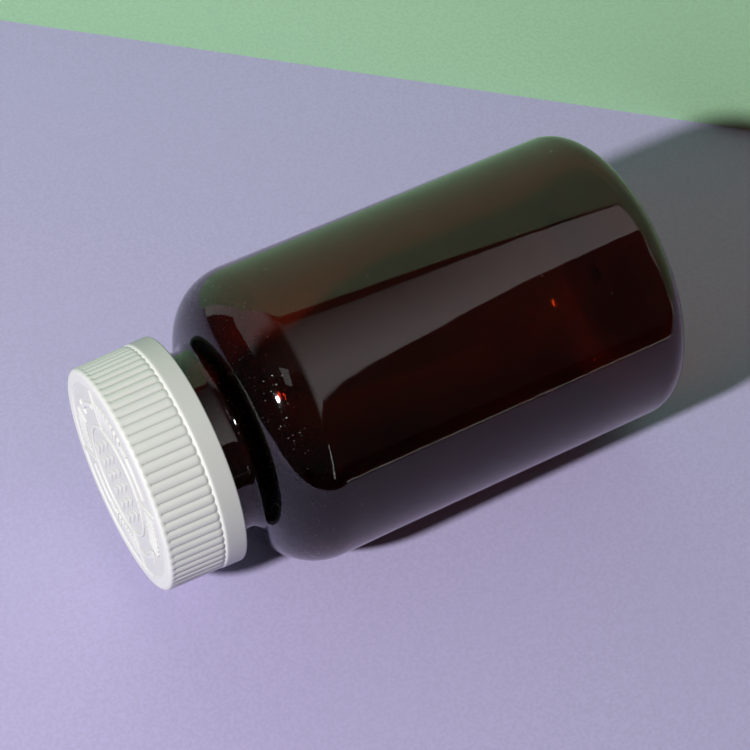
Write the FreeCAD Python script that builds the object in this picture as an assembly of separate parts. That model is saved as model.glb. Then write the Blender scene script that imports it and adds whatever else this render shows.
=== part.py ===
"""Pharmacy bottle with a push-and-turn closure: blown bottle, liner, threaded inner cap, ribbed outer cap.

Millimetres. +Z is up, along the bottle's axis, and the origin is the centre of the ring it stands on.
"""
import FreeCAD, Part

import math
import os

Vector = FreeCAD.Vector

# Bottle
BODY_DIAMETER = 66.7
LIP_HEIGHT = 117.0
SHOULDER_RADIUS = 14.0
BASE_CORNER_RADIUS = 7.0
WALL = 0.8
STANDING_RING_WIDTH = 1.6
PUSH_UP = 4.0
FLOOR_EXTRA = 0.4
GATE_RADIUS = 1.8
GATE_HEIGHT = 0.5
NECK_SHOWING = 6.3
NECK_WALL = 1.0
NECK_FILLET = 2.0
FINISH_WALL = 1.75
BORE_CORNER_RADIUS = 1.6
LIP_ROUNDING = 0.4

# Screw thread of the neck, which the inner cap follows
THREAD_CREST_RADIUS = 22.2
THREAD_DEPTH = 1.15
THREAD_PITCH = 25.4 / 6
THREAD_ROOT_WIDTH = 2.2
THREAD_CREST_WIDTH = 0.9
NECK_THREAD_TURNS = 1.15
NECK_THREAD_BELOW_LIP = 2.4
BEAD_DEPTH = 0.75
BEAD_HEIGHT = 0.8
BEAD_SLOPE = 0.7
BEAD_CLEARANCE = 0.2

# Liner
LINER_THICKNESS = 0.9
LINER_SIDE_CLEARANCE = 0.4

# Inner cap
INNER_WALL = 1.0
INNER_PLATE = 1.1
THREAD_CLEARANCE = 0.35
CAP_THREAD_TURNS = 1.25
CAP_THREAD_START = 130.0
INNER_RIM_BELOW_BEAD = 0.6
INNER_ROUNDING = 0.5

# Drive lugs between the two caps: a press brings them into mesh
LUG_COUNT = 12
LUG_HEIGHT = 0.9
LUG_TIP_GAP = 0.3
LUG_CLEARANCE = 0.1
LUG_INSET = 1.1
LUG_LENGTH = 4.8
LUG_ANGLE = 6.0
LUG_RAMP = 0.55

# Outer cap
OUTER_CLEARANCE = 0.35
OUTER_WALL = 1.62
OUTER_TAPER = 0.42
OUTER_PLATE = 1.1
OUTER_RIM_BELOW_INNER = 2.4
TOP_ROUNDING = 1.2
RIM_ROUNDING = 0.35
BAND_HEIGHT = 4.6
RIB_COUNT = 72
RIB_START = -0.4
RIB_RADIUS = 1.72
RIB_INSET = 0.06
RIB_DEPTH = 0.36
RIB_SLOPE = 0.5
SNAP_BEAD_DEPTH = 0.6
SNAP_BEAD_HEIGHT = 0.8
SNAP_BEAD_GAP = 0.25

# Raised marks on the top face
PANEL_RIM = 3.1
PANEL_DEPTH = 0.3
MARK_HEIGHT = 0.28
MARK_LINE = 0.55
MARK_INSET = 2.6
BAR_COUNT = 7
BAR_PITCH = 5.2
BAR_WIDTH = 0.75
BAR_LENGTH = 4.2
ARROW_ANGLE = 30.0
ARROW_WIDTH = 1.0
ARROW_HEAD = 3.4
MARK_GAP_ANGLE = 7.0
SPOKE_ANGLES = (151.0, 64.0, -29.0, -116.0)
HUB_GAP = 2.9
ROW_COUNT = 3
ROW_PITCH = 5.2
ROW_INSET = 3.2
WEDGE_WIDTH = 1.9
WEDGE_HEIGHT = 2.6
WEDGE_PITCH = 2.9

# Worked out from the sizes above, from the bore outward
BODY_RADIUS = BODY_DIAMETER / 2
THREAD_ROOT_RADIUS = THREAD_CREST_RADIUS - THREAD_DEPTH
BORE_RADIUS = THREAD_ROOT_RADIUS - FINISH_WALL
NECK_RADIUS = BORE_RADIUS + NECK_WALL
BEAD_RADIUS = THREAD_ROOT_RADIUS + BEAD_DEPTH
CAP_BORE_RADIUS = THREAD_CREST_RADIUS + THREAD_CLEARANCE
CAP_THREAD_CREST = THREAD_ROOT_RADIUS + THREAD_CLEARANCE
LINER_RADIUS = CAP_BORE_RADIUS - LINER_SIDE_CLEARANCE
INNER_RADIUS = CAP_BORE_RADIUS + INNER_WALL
OUTER_BORE_RADIUS = INNER_RADIUS + OUTER_CLEARANCE
CAP_RIM_RADIUS = OUTER_BORE_RADIUS + OUTER_WALL
CAP_TOP_RADIUS = CAP_RIM_RADIUS - OUTER_TAPER
PANEL_RADIUS = CAP_TOP_RADIUS - PANEL_RIM
BAR_OUT = PANEL_RADIUS - MARK_INSET
BAR_IN = BAR_OUT - BAR_LENGTH
HUB_RADIUS = BAR_IN - HUB_GAP

# and from the lip up and down
LINER_TOP = LIP_HEIGHT + LINER_THICKNESS
INNER_TOP = LINER_TOP + INNER_PLATE
PLATE_GAP = 2 * LUG_HEIGHT + LUG_TIP_GAP
PRESS_TRAVEL = PLATE_GAP - LUG_HEIGHT - LUG_CLEARANCE
UNDERSIDE = INNER_TOP + PLATE_GAP
CAP_TOP = UNDERSIDE + OUTER_PLATE
PANEL_FLOOR = CAP_TOP - PANEL_DEPTH
NECK_THREAD_FOOT = LIP_HEIGHT - NECK_THREAD_BELOW_LIP - NECK_THREAD_TURNS * THREAD_PITCH
CAP_THREAD_FOOT = NECK_THREAD_FOOT + THREAD_PITCH * (CAP_THREAD_START / 360 - 0.5)
BEAD_TOP = CAP_THREAD_FOOT - THREAD_ROOT_WIDTH / 2 - BEAD_CLEARANCE
INNER_RIM = BEAD_TOP - INNER_RIM_BELOW_BEAD
CAP_RIM = INNER_RIM - OUTER_RIM_BELOW_INNER
SHOULDER_HEIGHT = CAP_RIM - NECK_SHOWING - SHOULDER_RADIUS
OVERLAP = 0.2


def point(r, z):
    return Vector(r, 0, z)


def at(radius, angle, z):
    turn = math.radians(angle)
    return Vector(radius * math.cos(turn), radius * math.sin(turn), z)


class Outline:
    """A closed outline in the plane of the axis, turned into a solid of revolution."""

    def __init__(self, r, z):
        self.start = point(r, z)
        self.here = self.start
        self.edges = []

    def to(self, r, z):
        end = point(r, z)
        self.edges.append(Part.makeLine(self.here, end))
        self.here = end
        return self

    def arc(self, middle, end):
        end = point(*end)
        self.edges.append(Part.Arc(self.here, point(*middle), end).toShape())
        self.here = end
        return self

    def round(self, centre, radius, start, stop):
        """An arc about a centre, from one angle to another, in degrees above the horizontal."""
        middle = (start + stop) / 2
        points = []
        for angle in (middle, stop):
            turn = math.radians(angle)
            points.append((centre[0] + radius * math.cos(turn), centre[1] + radius * math.sin(turn)))
        return self.arc(*points)

    def revolved(self):
        if (self.here - self.start).Length > 1e-6:
            self.edges.append(Part.makeLine(self.here, self.start))
        face = Part.Face(Part.Wire(self.edges))
        solid = face.revolve(Vector(0, 0, 0), Vector(0, 0, 1), 360)
        if solid.Volume < 0:
            solid.reverse()
        return solid


def dome_height(r, rim_r, rim_z, apex_z):
    """Height of a spherical dome that passes its rim and its apex."""
    rise = apex_z - rim_z
    radius = (rim_r**2 + rise**2) / (2 * rise)
    return apex_z - (radius - math.sqrt(radius**2 - r**2))


def round_edge(solid, radius, r, z):
    """Rounds the circular edge of radius r at height z."""
    edges = []
    for edge in solid.Edges:
        if edge.Degenerated:
            continue
        curve = edge.Curve
        if isinstance(curve, Part.Circle) and abs(curve.Radius - r) < 1e-3 and abs(curve.Center.z - z) < 1e-3:
            if abs(abs(curve.Axis.z) - 1) < 1e-6:
                edges.append(edge)
    if not edges:
        raise ValueError(f"no edge of radius {r} at height {z}")
    return solid.makeFillet(radius, edges)


def thread(root, crest, foot, turns, start):
    """A helical ridge from root to crest radius, which fades into the wall at both ends."""
    direction = 1 if crest > root else -1
    steps = round(turns * 36)
    fade = 0.08
    wires = []
    for step in range(steps + 1):
        along = step / steps
        full = min(1.0, along / fade, (1 - along) / fade)
        full = 0.04 + 0.96 * math.sin(full * math.pi / 2)
        z = foot + turns * THREAD_PITCH * along
        angle = start + 360 * turns * along
        inner = root - direction * OVERLAP
        outer = root + (crest - root) * full
        wide = THREAD_ROOT_WIDTH / 2
        narrow = wide - (THREAD_ROOT_WIDTH - THREAD_CREST_WIDTH) / 2 * full
        corners = [
            at(inner, angle, z - wide),
            at(outer, angle, z - narrow),
            at(outer, angle, z + narrow),
            at(inner, angle, z + wide),
        ]
        wires.append(Part.makePolygon(corners + corners[:1]))
    return Part.makeLoft(wires, True, False)


def bottle():
    corner = (BODY_RADIUS - BASE_CORNER_RADIUS, BASE_CORNER_RADIUS)
    shoulder = (BODY_RADIUS - SHOULDER_RADIUS, SHOULDER_HEIGHT)
    ring_in = corner[0] - STANDING_RING_WIDTH
    floor_top = PUSH_UP + WALL + FLOOR_EXTRA

    def shoulder_at(r, radius):
        return SHOULDER_HEIGHT + math.sqrt(radius**2 - (r - shoulder[0]) ** 2)

    def shoulder_angle(r, radius):
        return math.degrees(math.acos((r - shoulder[0]) / radius))

    neck_foot = shoulder_at(NECK_RADIUS, SHOULDER_RADIUS)
    bore_foot = shoulder_at(BORE_RADIUS, SHOULDER_RADIUS - WALL)
    bead = BEAD_TOP - BEAD_SLOPE
    gate = dome_height(GATE_RADIUS, ring_in, 0, PUSH_UP)
    middle = ring_in / 2

    body = Outline(0, gate - GATE_HEIGHT)
    body.to(GATE_RADIUS, gate - GATE_HEIGHT).to(GATE_RADIUS, gate)
    body.arc((middle, dome_height(middle, ring_in, 0, PUSH_UP)), (ring_in, 0))
    body.to(corner[0], 0).round(corner, BASE_CORNER_RADIUS, -90, 0)
    body.to(BODY_RADIUS, SHOULDER_HEIGHT)
    body.round(shoulder, SHOULDER_RADIUS, 0, shoulder_angle(NECK_RADIUS, SHOULDER_RADIUS))
    body.to(NECK_RADIUS, bead - BEAD_HEIGHT - BEAD_SLOPE).to(BEAD_RADIUS, bead - BEAD_HEIGHT)
    body.to(BEAD_RADIUS, bead).to(THREAD_ROOT_RADIUS, BEAD_TOP)
    body.to(THREAD_ROOT_RADIUS, LIP_HEIGHT).to(BORE_RADIUS, LIP_HEIGHT).to(BORE_RADIUS, bore_foot)
    body.round(shoulder, SHOULDER_RADIUS - WALL, shoulder_angle(BORE_RADIUS, SHOULDER_RADIUS - WALL), 0)
    body.to(BODY_RADIUS - WALL, BASE_CORNER_RADIUS)
    body.round(corner, BASE_CORNER_RADIUS - WALL, 0, -90).to(ring_in, WALL)
    body.arc((middle, dome_height(middle, ring_in, WALL, floor_top)), (0, floor_top))
    solid = body.revolved()

    solid = round_edge(solid, NECK_FILLET, NECK_RADIUS, neck_foot)
    solid = round_edge(solid, BORE_CORNER_RADIUS, BORE_RADIUS, bore_foot)
    solid = round_edge(solid, LIP_ROUNDING, THREAD_ROOT_RADIUS, LIP_HEIGHT)
    solid = round_edge(solid, LIP_ROUNDING, BORE_RADIUS, LIP_HEIGHT)
    ridge = thread(THREAD_ROOT_RADIUS, THREAD_CREST_RADIUS, NECK_THREAD_FOOT, NECK_THREAD_TURNS, 0)
    return solid.fuse(ridge)


def liner():
    return Part.makeCylinder(LINER_RADIUS, LINER_THICKNESS, Vector(0, 0, LIP_HEIGHT))


def lugs(foot, rise, offset):
    """A ring of drive lugs, each with one upright face and one ramp, rising from foot by rise."""
    pieces = []
    inner = INNER_RADIUS - LUG_INSET - LUG_LENGTH
    half = math.radians(LUG_ANGLE / 2) * (inner + LUG_LENGTH / 2)
    side = math.copysign(1, rise)
    sunk = foot - side * OVERLAP
    top = foot + rise
    for index in range(LUG_COUNT):
        across = [
            Vector(inner, -half * side, sunk),
            Vector(inner, half * side, sunk),
            Vector(inner, (half - 2 * half * LUG_RAMP) * side, top),
            Vector(inner, -half * side, top),
        ]
        face = Part.Face(Part.makePolygon(across + across[:1]))
        lug = face.extrude(Vector(LUG_LENGTH, 0, 0))
        lug.rotate(Vector(0, 0, 0), Vector(0, 0, 1), 360 / LUG_COUNT * (index + offset))
        pieces.append(lug)
    return pieces


def inner_cap():
    shell = Outline(0, LINER_TOP)
    shell.to(CAP_BORE_RADIUS, LINER_TOP).to(CAP_BORE_RADIUS, INNER_RIM).to(INNER_RADIUS, INNER_RIM)
    shell.to(INNER_RADIUS, INNER_TOP).to(0, INNER_TOP)
    solid = shell.revolved()
    solid = round_edge(solid, INNER_ROUNDING, INNER_RADIUS, INNER_TOP)
    ridge = thread(CAP_BORE_RADIUS, CAP_THREAD_CREST, CAP_THREAD_FOOT, CAP_THREAD_TURNS, CAP_THREAD_START)
    return solid.multiFuse([ridge] + lugs(INNER_TOP, LUG_HEIGHT, 0))


def cap_radius(z):
    """Outer radius of the tapered outer cap at height z."""
    return CAP_RIM_RADIUS - OUTER_TAPER * (z - CAP_RIM) / (CAP_TOP - CAP_RIM)


def rib_grooves():
    """The space between the ribs: a ring with a sloping foot, less a round-ended rod for each rib."""
    foot = CAP_RIM + BAND_HEIGHT
    top = CAP_TOP + 1
    floor = RIB_INSET + RIB_DEPTH
    outside = CAP_RIM_RADIUS + 1
    ring = Outline(cap_radius(foot), foot)
    ring.to(cap_radius(foot + RIB_SLOPE) - floor, foot + RIB_SLOPE)
    ring.to(cap_radius(top) - floor, top).to(outside, top).to(outside, foot)
    tip = foot + RIB_SLOPE + math.sqrt(RIB_RADIUS**2 - (RIB_RADIUS - RIB_DEPTH) ** 2)
    sunk = RIB_INSET + RIB_RADIUS
    low = point(cap_radius(tip) - sunk, tip)
    high = point(cap_radius(top) - sunk, top)
    along = high - low
    ribs = []
    for index in range(RIB_COUNT):
        shaft = Part.makeCylinder(RIB_RADIUS, along.Length, low, along)
        rib = shaft.fuse(Part.makeSphere(RIB_RADIUS, low, along)).removeSplitter()
        rib.rotate(Vector(0, 0, 0), Vector(0, 0, 1), RIB_START + 360 / RIB_COUNT * index)
        ribs.append(rib)
    return ring.revolved().cut(ribs)


def plate_block(length, width, centre_r, angle, across=0.0):
    """A raised block on the top panel: length runs outward along the angle."""
    block = Part.makeBox(length, width, MARK_HEIGHT + OVERLAP)
    block.translate(Vector(centre_r - length / 2, across - width / 2, PANEL_FLOOR - OVERLAP))
    block.rotate(Vector(0, 0, 0), Vector(0, 0, 1), angle)
    return block


def ring_mark(radius, width, start, sweep):
    """A raised arc on the top panel."""
    inner = radius - width / 2
    outer = radius + width / 2
    low = PANEL_FLOOR - OVERLAP
    if sweep >= 360:
        ring = Part.makeCylinder(outer, MARK_HEIGHT + OVERLAP, Vector(0, 0, low))
        return ring.cut(Part.makeCylinder(inner, MARK_HEIGHT + OVERLAP, Vector(0, 0, low)))
    corners = [Vector(inner, 0, low), Vector(outer, 0, low)]
    corners += [corner + Vector(0, 0, MARK_HEIGHT + OVERLAP) for corner in reversed(corners)]
    face = Part.Face(Part.makePolygon(corners + corners[:1]))
    arc = face.revolve(Vector(0, 0, 0), Vector(0, 0, 1), sweep)
    if arc.Volume < 0:
        arc.reverse()
    arc.rotate(Vector(0, 0, 0), Vector(0, 0, 1), start)
    return arc


def triangle(tip, base_a, base_b):
    corners = [Vector(x, y, PANEL_FLOOR - OVERLAP) for x, y in (tip, base_a, base_b)]
    return Part.Face(Part.makePolygon(corners + corners[:1])).extrude(Vector(0, 0, MARK_HEIGHT + OVERLAP))


def turn_arrow(start):
    """A curved arrow about the axis, pointing the way the cap is opened."""
    radius = (BAR_IN + BAR_OUT) / 2
    arc = ring_mark(radius, ARROW_WIDTH, start, ARROW_ANGLE)
    foot_angle = start + ARROW_ANGLE
    tip = at(radius, foot_angle + math.degrees(ARROW_HEAD / radius), 0)
    inner = at(radius - ARROW_HEAD / 2, foot_angle, 0)
    outer = at(radius + ARROW_HEAD / 2, foot_angle, 0)
    head = triangle((tip.x, tip.y), (outer.x, outer.y), (inner.x, inner.y))
    return arc.fuse(head)


def marks():
    """Press-and-turn marks: a hub ring with spokes, arrows and bars round it, and wedges inside it."""
    pieces = [ring_mark(HUB_RADIUS, MARK_LINE, 0, 360)]
    length = PANEL_RADIUS - HUB_RADIUS
    for angle in SPOKE_ANGLES:
        pieces.append(plate_block(length, MARK_LINE, HUB_RADIUS + length / 2, angle))
        pieces.append(turn_arrow(angle + MARK_GAP_ANGLE))
        for index in range(BAR_COUNT):
            place = angle - MARK_GAP_ANGLE - BAR_PITCH * index
            pieces.append(plate_block(BAR_LENGTH, BAR_WIDTH, (BAR_IN + BAR_OUT) / 2, place))
    for row in range(ROW_COUNT):
        y = ROW_PITCH * ((ROW_COUNT - 1) / 2 - row)
        room = 2 * math.sqrt(HUB_RADIUS**2 - y**2) - 2 * ROW_INSET
        count = int(room / WEDGE_PITCH) + 1
        for index in range(count):
            x = (index - (count - 1) / 2) * WEDGE_PITCH
            base = y + WEDGE_HEIGHT / 2
            low = (x, base - WEDGE_HEIGHT)
            pieces.append(triangle(low, (x + WEDGE_WIDTH / 2, base), (x - WEDGE_WIDTH / 2, base)))
    return pieces


def outer_cap():
    snap_top = INNER_RIM - SNAP_BEAD_GAP
    snap_foot = snap_top - SNAP_BEAD_HEIGHT
    shell = Outline(0, UNDERSIDE)
    shell.to(OUTER_BORE_RADIUS, UNDERSIDE).to(OUTER_BORE_RADIUS, snap_top)
    shell.to(OUTER_BORE_RADIUS - SNAP_BEAD_DEPTH, (snap_top + snap_foot) / 2).to(OUTER_BORE_RADIUS, snap_foot)
    shell.to(OUTER_BORE_RADIUS, CAP_RIM).to(CAP_RIM_RADIUS, CAP_RIM).to(CAP_TOP_RADIUS, CAP_TOP)
    shell.to(PANEL_RADIUS, CAP_TOP).to(PANEL_RADIUS, PANEL_FLOOR).to(0, PANEL_FLOOR)
    solid = shell.revolved()
    solid = round_edge(solid, TOP_ROUNDING, CAP_TOP_RADIUS, CAP_TOP)
    solid = round_edge(solid, RIM_ROUNDING, CAP_RIM_RADIUS, CAP_RIM)
    solid = solid.cut(rib_grooves())
    return solid.multiFuse(lugs(UNDERSIDE, -LUG_HEIGHT, 0.5) + marks())


def main():
    os.makedirs("parts", exist_ok=True)
    pieces = {
        "bottle": bottle(),
        "liner": liner(),
        "inner_cap": inner_cap(),
        "outer_cap": outer_cap(),
    }
    for name, shape in pieces.items():
        solids = shape.Solids
        if len(solids) != 1 or not shape.isValid():
            raise ValueError(f"{name}: {len(solids)} solids, valid {shape.isValid()}")
        solids[0].exportStep(f"parts/{name}.step")
        print(name, round(solids[0].Volume / 1000, 3), "cm3", len(solids[0].Faces), "faces")
    print("shoulder", round(SHOULDER_HEIGHT, 2), "rim", round(CAP_RIM, 2), "top", round(CAP_TOP, 2))
    print("press travel", round(PRESS_TRAVEL, 2))


main()
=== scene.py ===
"""Looks of a pharmacy bottle: amber bottle, ribbed push-and-turn cap, inner cap, liner and a small studio.

Metres, with +Z up along the bottle's axis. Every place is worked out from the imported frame.
"""
import math

import bmesh
import bpy
from bpy.props import FloatProperty, FloatVectorProperty, IntProperty, PointerProperty
from mathutils import Matrix, Vector


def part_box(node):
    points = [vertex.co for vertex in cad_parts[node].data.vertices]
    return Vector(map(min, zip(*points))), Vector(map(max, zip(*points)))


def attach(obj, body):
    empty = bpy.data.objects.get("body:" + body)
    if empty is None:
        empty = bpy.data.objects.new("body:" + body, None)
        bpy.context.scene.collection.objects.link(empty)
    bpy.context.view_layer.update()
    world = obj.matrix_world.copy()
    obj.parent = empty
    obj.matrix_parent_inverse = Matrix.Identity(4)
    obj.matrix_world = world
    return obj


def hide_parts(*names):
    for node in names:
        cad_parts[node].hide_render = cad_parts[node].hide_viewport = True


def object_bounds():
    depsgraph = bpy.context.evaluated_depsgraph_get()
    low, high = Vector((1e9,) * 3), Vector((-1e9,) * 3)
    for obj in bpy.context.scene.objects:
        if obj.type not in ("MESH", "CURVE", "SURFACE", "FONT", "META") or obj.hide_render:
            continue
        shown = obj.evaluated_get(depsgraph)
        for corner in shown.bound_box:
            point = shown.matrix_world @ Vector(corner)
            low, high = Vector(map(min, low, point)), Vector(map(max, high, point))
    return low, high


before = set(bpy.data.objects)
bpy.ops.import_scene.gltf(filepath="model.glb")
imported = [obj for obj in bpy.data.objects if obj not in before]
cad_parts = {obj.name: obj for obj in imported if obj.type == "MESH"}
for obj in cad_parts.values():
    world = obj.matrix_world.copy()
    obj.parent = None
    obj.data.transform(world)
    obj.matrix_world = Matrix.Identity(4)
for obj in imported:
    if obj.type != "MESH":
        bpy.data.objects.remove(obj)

bl_info = {
    "name": "Pharmacy Bottle",
    "version": (1, 0, 0),
    "blender": (4, 5, 0),
    "location": "3D View > Sidebar > Bottle",
    "description": "Dresses a packed pharmacy bottle and its two-part cap, and lights them",
    "category": "Object",
}

MM = 0.001
CAD_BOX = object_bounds()
BOTTLE_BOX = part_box("bottle")
CAP_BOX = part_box("outer_cap")
CAP_RIM, CAP_TOP = CAP_BOX[0].z, CAP_BOX[1].z
MIDDLE = (CAD_BOX[0] + CAD_BOX[1]) / 2
TINY = 1e-7  # a smaller length counts as none
SHORT_RUN = 0.3 * MM  # a shorter run gets no points between its ends
THREAD_STEP = 0.18 * MM  # rise between the rings of points that carry the thread
BOTTLE_SIDES = 256
HUB_SIDES = 96
DOME_STEPS = 18
SHOULDER_STEPS = 28
WHITE = (1, 1, 1, 1)
# black that the painted shade on the cap mixes towards
PAINTED_SHADE_BLACK = (0, 0, 0, 1)


# ---- settings


def setting(kind, scale=1, **fixed):
    """Makes settings of one kind. Each takes a name, a description and a default, which is scaled."""
    return lambda name, description, default: kind(
        name=name, description=description, default=default * scale, **fixed
    )


length = setting(FloatProperty, MM, precision=5, unit="LENGTH", subtype="DISTANCE")
turn = setting(FloatProperty, math.radians(1), subtype="ANGLE")
colour = setting(FloatVectorProperty, size=3, min=0, max=1, subtype="COLOR")
share = setting(FloatProperty, min=0, max=1, subtype="FACTOR")
level = setting(FloatProperty, min=0)
number = setting(FloatProperty)
whole = setting(IntProperty, min=3)
offset = setting(FloatVectorProperty, size=3, unit="LENGTH", subtype="TRANSLATION")


class BottleSizes(bpy.types.PropertyGroup):
    """Sizes of the blown bottle."""

    body_radius: length("Body radius", "Outside radius of the body", BOTTLE_BOX[1].x / MM)
    lip_height: length("Lip height", "Height above the standing ring", BOTTLE_BOX[1].z / MM)
    wall: length("Wall", "Thickness of the wall", 0.8)
    shoulder_extra: length("Shoulder thickening", "Extra wall towards the neck", 1.2)
    shoulder_radius: length("Shoulder radius", "Radius of the shoulder's curve", 14)
    corner_radius: length("Base corner", "Radius of the corner above the ring", 7)
    ring_width: length("Standing ring", "Width of the ring it stands on", 1.6)
    push_up: length("Push-up", "Rise of the domed bottom", 4)
    floor_extra: length("Bottom thickening", "Extra wall in the middle of the bottom", 0.4)
    neck_showing: length("Neck showing", "Bare neck between shoulder and cap", 6.3)
    neck_radius: length("Neck radius", "Outside radius of the bare neck", 20.3)
    neck_fillet: length("Neck fillet", "Radius of the hollow at the neck's foot", 2)
    bore_radius: length("Bore radius", "Inside radius of the neck", 19.3)
    bore_corner: length("Bore corner", "Radius where the bore meets the shoulder", 1.6)
    lip_rounding: length("Lip rounding", "Radius of the lip's edges", 0.4)
    thread_root: length("Thread root", "Radius of the wall under the thread", 21.05)
    thread_depth: length("Thread depth", "Height of the thread on that wall", 1.15)
    thread_pitch: length("Thread pitch", "Rise in one turn", 25.4 / 6)
    thread_width: length("Thread width", "Width at its root", 2.2)
    thread_slope: length("Thread flank", "Width of each flank", 0.65)
    thread_below_lip: length("Thread below lip", "Drop from the lip to the thread's end", 2.4)
    thread_turns: number("Thread turns", "Turns of thread on the neck", 1.15)
    bead_radius: length("Bead radius", "Radius of the bead under the thread", 21.8)
    bead_top: length("Bead top", "Height of the top of the bead", 107.84)
    bead_height: length("Bead height", "Height of the bead's face", 0.8)


class CapSizes(bpy.types.PropertyGroup):
    """Sizes of the ribbed outer cap."""

    rim_radius: length("Rim radius", "Outside radius at the lower rim", CAP_BOX[1].x / MM)
    taper: length("Taper", "Loss of radius up to the top", 0.42)
    bore_radius: length("Bore radius", "Inside radius of the skirt", 23.9)
    plate: length("Plate", "Thickness of the top plate", 1.1)
    top_rounding: length("Top rounding", "Radius of the top edge", 1.2)
    band_height: length("Band height", "Height of the band under the ribs", 4.6)
    rib_count: whole("Ribs", "Number of ribs round the skirt", 72)
    rib_start: turn("Rib start", "Angle of the first rib", -0.4)
    rib_radius: length("Rib radius", "Radius of each rib's round back", 1.72)
    rib_inset: length("Rib inset", "Depth of the ribs under the band's face", 0.06)
    rib_depth: length("Rib depth", "Depth of the grooves", 0.42)
    rib_slope: length("Rib slope", "Height of the slope under the grooves", 0.4)
    rib_tip: length("Rib tip", "Length of each rib's round end", 1.15)
    rib_head: length("Rib head", "Height of the grooves' run-out", 1.1)
    snap_rise: length("Snap bead rise", "Height of its middle above the rim", 1.75)
    snap_depth: length("Snap bead depth", "How far it stands into the bore", 0.6)
    snap_height: length("Snap bead height", "Height of the snap bead", 0.8)
    panel_radius: length("Panel radius", "Radius of the sunk panel", 22)
    panel_depth: length("Panel depth", "How far the panel is sunk", 0.3)
    mark_height: length("Mark height", "Height of the marks on the panel", 0.42)
    lug_count: whole("Lugs", "Number of drive lugs", 12)
    lug_height: length("Lug height", "Height of the lugs", 0.9)
    lug_inner: length("Lug start", "Radius where the lugs start", 17.65)
    lug_length: length("Lug length", "Outward length of each lug", 4.8)


class FinishSettings(bpy.types.PropertyGroup):
    """Colours and surface finish of the plastics and the liner."""

    amber: colour("Amber", "Colour of light after one wall", (0.38, 0.12, 0.04))
    amber_roughness: share("Amber roughness", "Roughness of the clean amber wall", 0.035)
    amber_ior: number("Amber IOR", "Index of refraction of the bottle", 1.5)
    cap_white: colour("Cap white", "Moulded plastic of the outer cap", (0.71, 0.71, 0.675))
    cap_roughness: share("Cap roughness", "Roughness of the outer cap", 0.48)
    inner_white: colour("Inner white", "Moulded plastic of the inner cap", (0.76, 0.76, 0.73))
    liner_board: colour("Liner board", "Pulp board of the liner", (0.62, 0.58, 0.49))
    dust: share("Dust", "Amount of settled dust", 0.09)


class StudioSettings(bpy.types.PropertyGroup):
    """Camera, sheets and lights."""

    view_azimuth: turn("View azimuth", "Direction of the camera round the bottle", 0.14)
    view_elevation: turn("View elevation", "Angle of the camera above the horizon", 17.814)
    view_roll: turn("View roll", "Roll of the camera about its own axis", -113.454)
    view_distance: length("View distance", "Distance from the camera to its aim", 468.66)
    view_aim: offset("View aim", "Aim of the camera from the bottle's middle", (-1.09 * MM, 0, 0.3 * MM))
    lens: number("Lens", "Focal length in millimetres", 104.05)
    lie_azimuth: turn("Lie azimuth", "Direction away from the sheet it lies on", 35.3)
    sheet: colour("Sheet", "Pale sheet under the bottle", (0.49, 0.435, 0.68))
    card: colour("Card", "Pale card behind the bottle", (0.33, 0.56, 0.34))
    background: level("Background", "Brightness beyond the sheets", 0.72)
    fill: level("Fill", "Even light on matt surfaces", 0.12)
    key: level("Key", "Light of the lamp on what faces it", 1.12)
    panel: level("Panel", "Brightness of the overhead panel", 1.1)
    room: level("Room", "Dim glow that the dark flank reflects", 0.042)


# ---- mesh tools


def polar(radius, angle, centre=(0, 0)):
    """The point at a distance and an angle from a centre."""
    return centre[0] + radius * math.cos(angle), centre[1] + radius * math.sin(angle)


class Outline:
    """The outline of a turned piece, as points of (radius, height)."""

    def __init__(self, radius, height):
        self.points = [(radius, height)]

    def to(self, radius, height, step=3 * MM, even=False):
        """A straight run, with points closer together near its ends unless it is even."""
        start = self.points[-1]
        run = math.dist(start, (radius, height))
        count = 1
        if run >= SHORT_RUN:
            count = math.ceil(run / step) + (0 if even else 2)
        for index in range(1, count + 1):
            along = index / count if even else 0.5 - 0.5 * math.cos(math.pi * index / count)
            out = start[0] + (radius - start[0]) * along
            rise = start[1] + (height - start[1]) * along
            self.points.append((out, rise))
        return self

    def round(self, centre, radius, start, stop, count):
        """An arc about a centre between two angles above the horizontal, in degrees."""
        for index in range(1, count + 1):
            angle = math.radians(start + (stop - start) * index / count)
            self.points.append(polar(radius, angle, centre))
        return self

    def bend(self, corner, radius, towards, count=4, step=3 * MM):
        """A straight run to a rounded corner, which turns towards the next point."""
        here, corner, towards = (Vector(p) for p in (self.points[-1], corner, towards))
        before, after = (corner - here).normalized(), (towards - corner).normalized()
        angle = math.acos(max(-1, min(1, before.dot(after))))
        cut = radius * math.tan(angle / 2)
        side = math.copysign(1, before.x * after.y - before.y * after.x)
        start = corner - before * cut
        centre = start + Vector((-before.y, before.x)) * side * radius
        self.to(start.x, start.y, step)
        spoke = start - centre
        for index in range(1, count + 1):
            sweep = side * angle * index / count
            point = centre + Matrix.Rotation(sweep, 2) @ spoke
            self.points.append((point.x, point.y))
        return self

    def dome(self, steps, start, rim, rim_height, apex):
        """Points on a round dome, from a starting radius to its rim, or back if the steps run down."""
        for step in steps:
            radius = start + (rim - start) * math.sin(math.pi / 2 * step / DOME_STEPS)
            self.points.append((radius, dome_height(radius, rim, rim_height, apex)))
        return self


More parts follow.
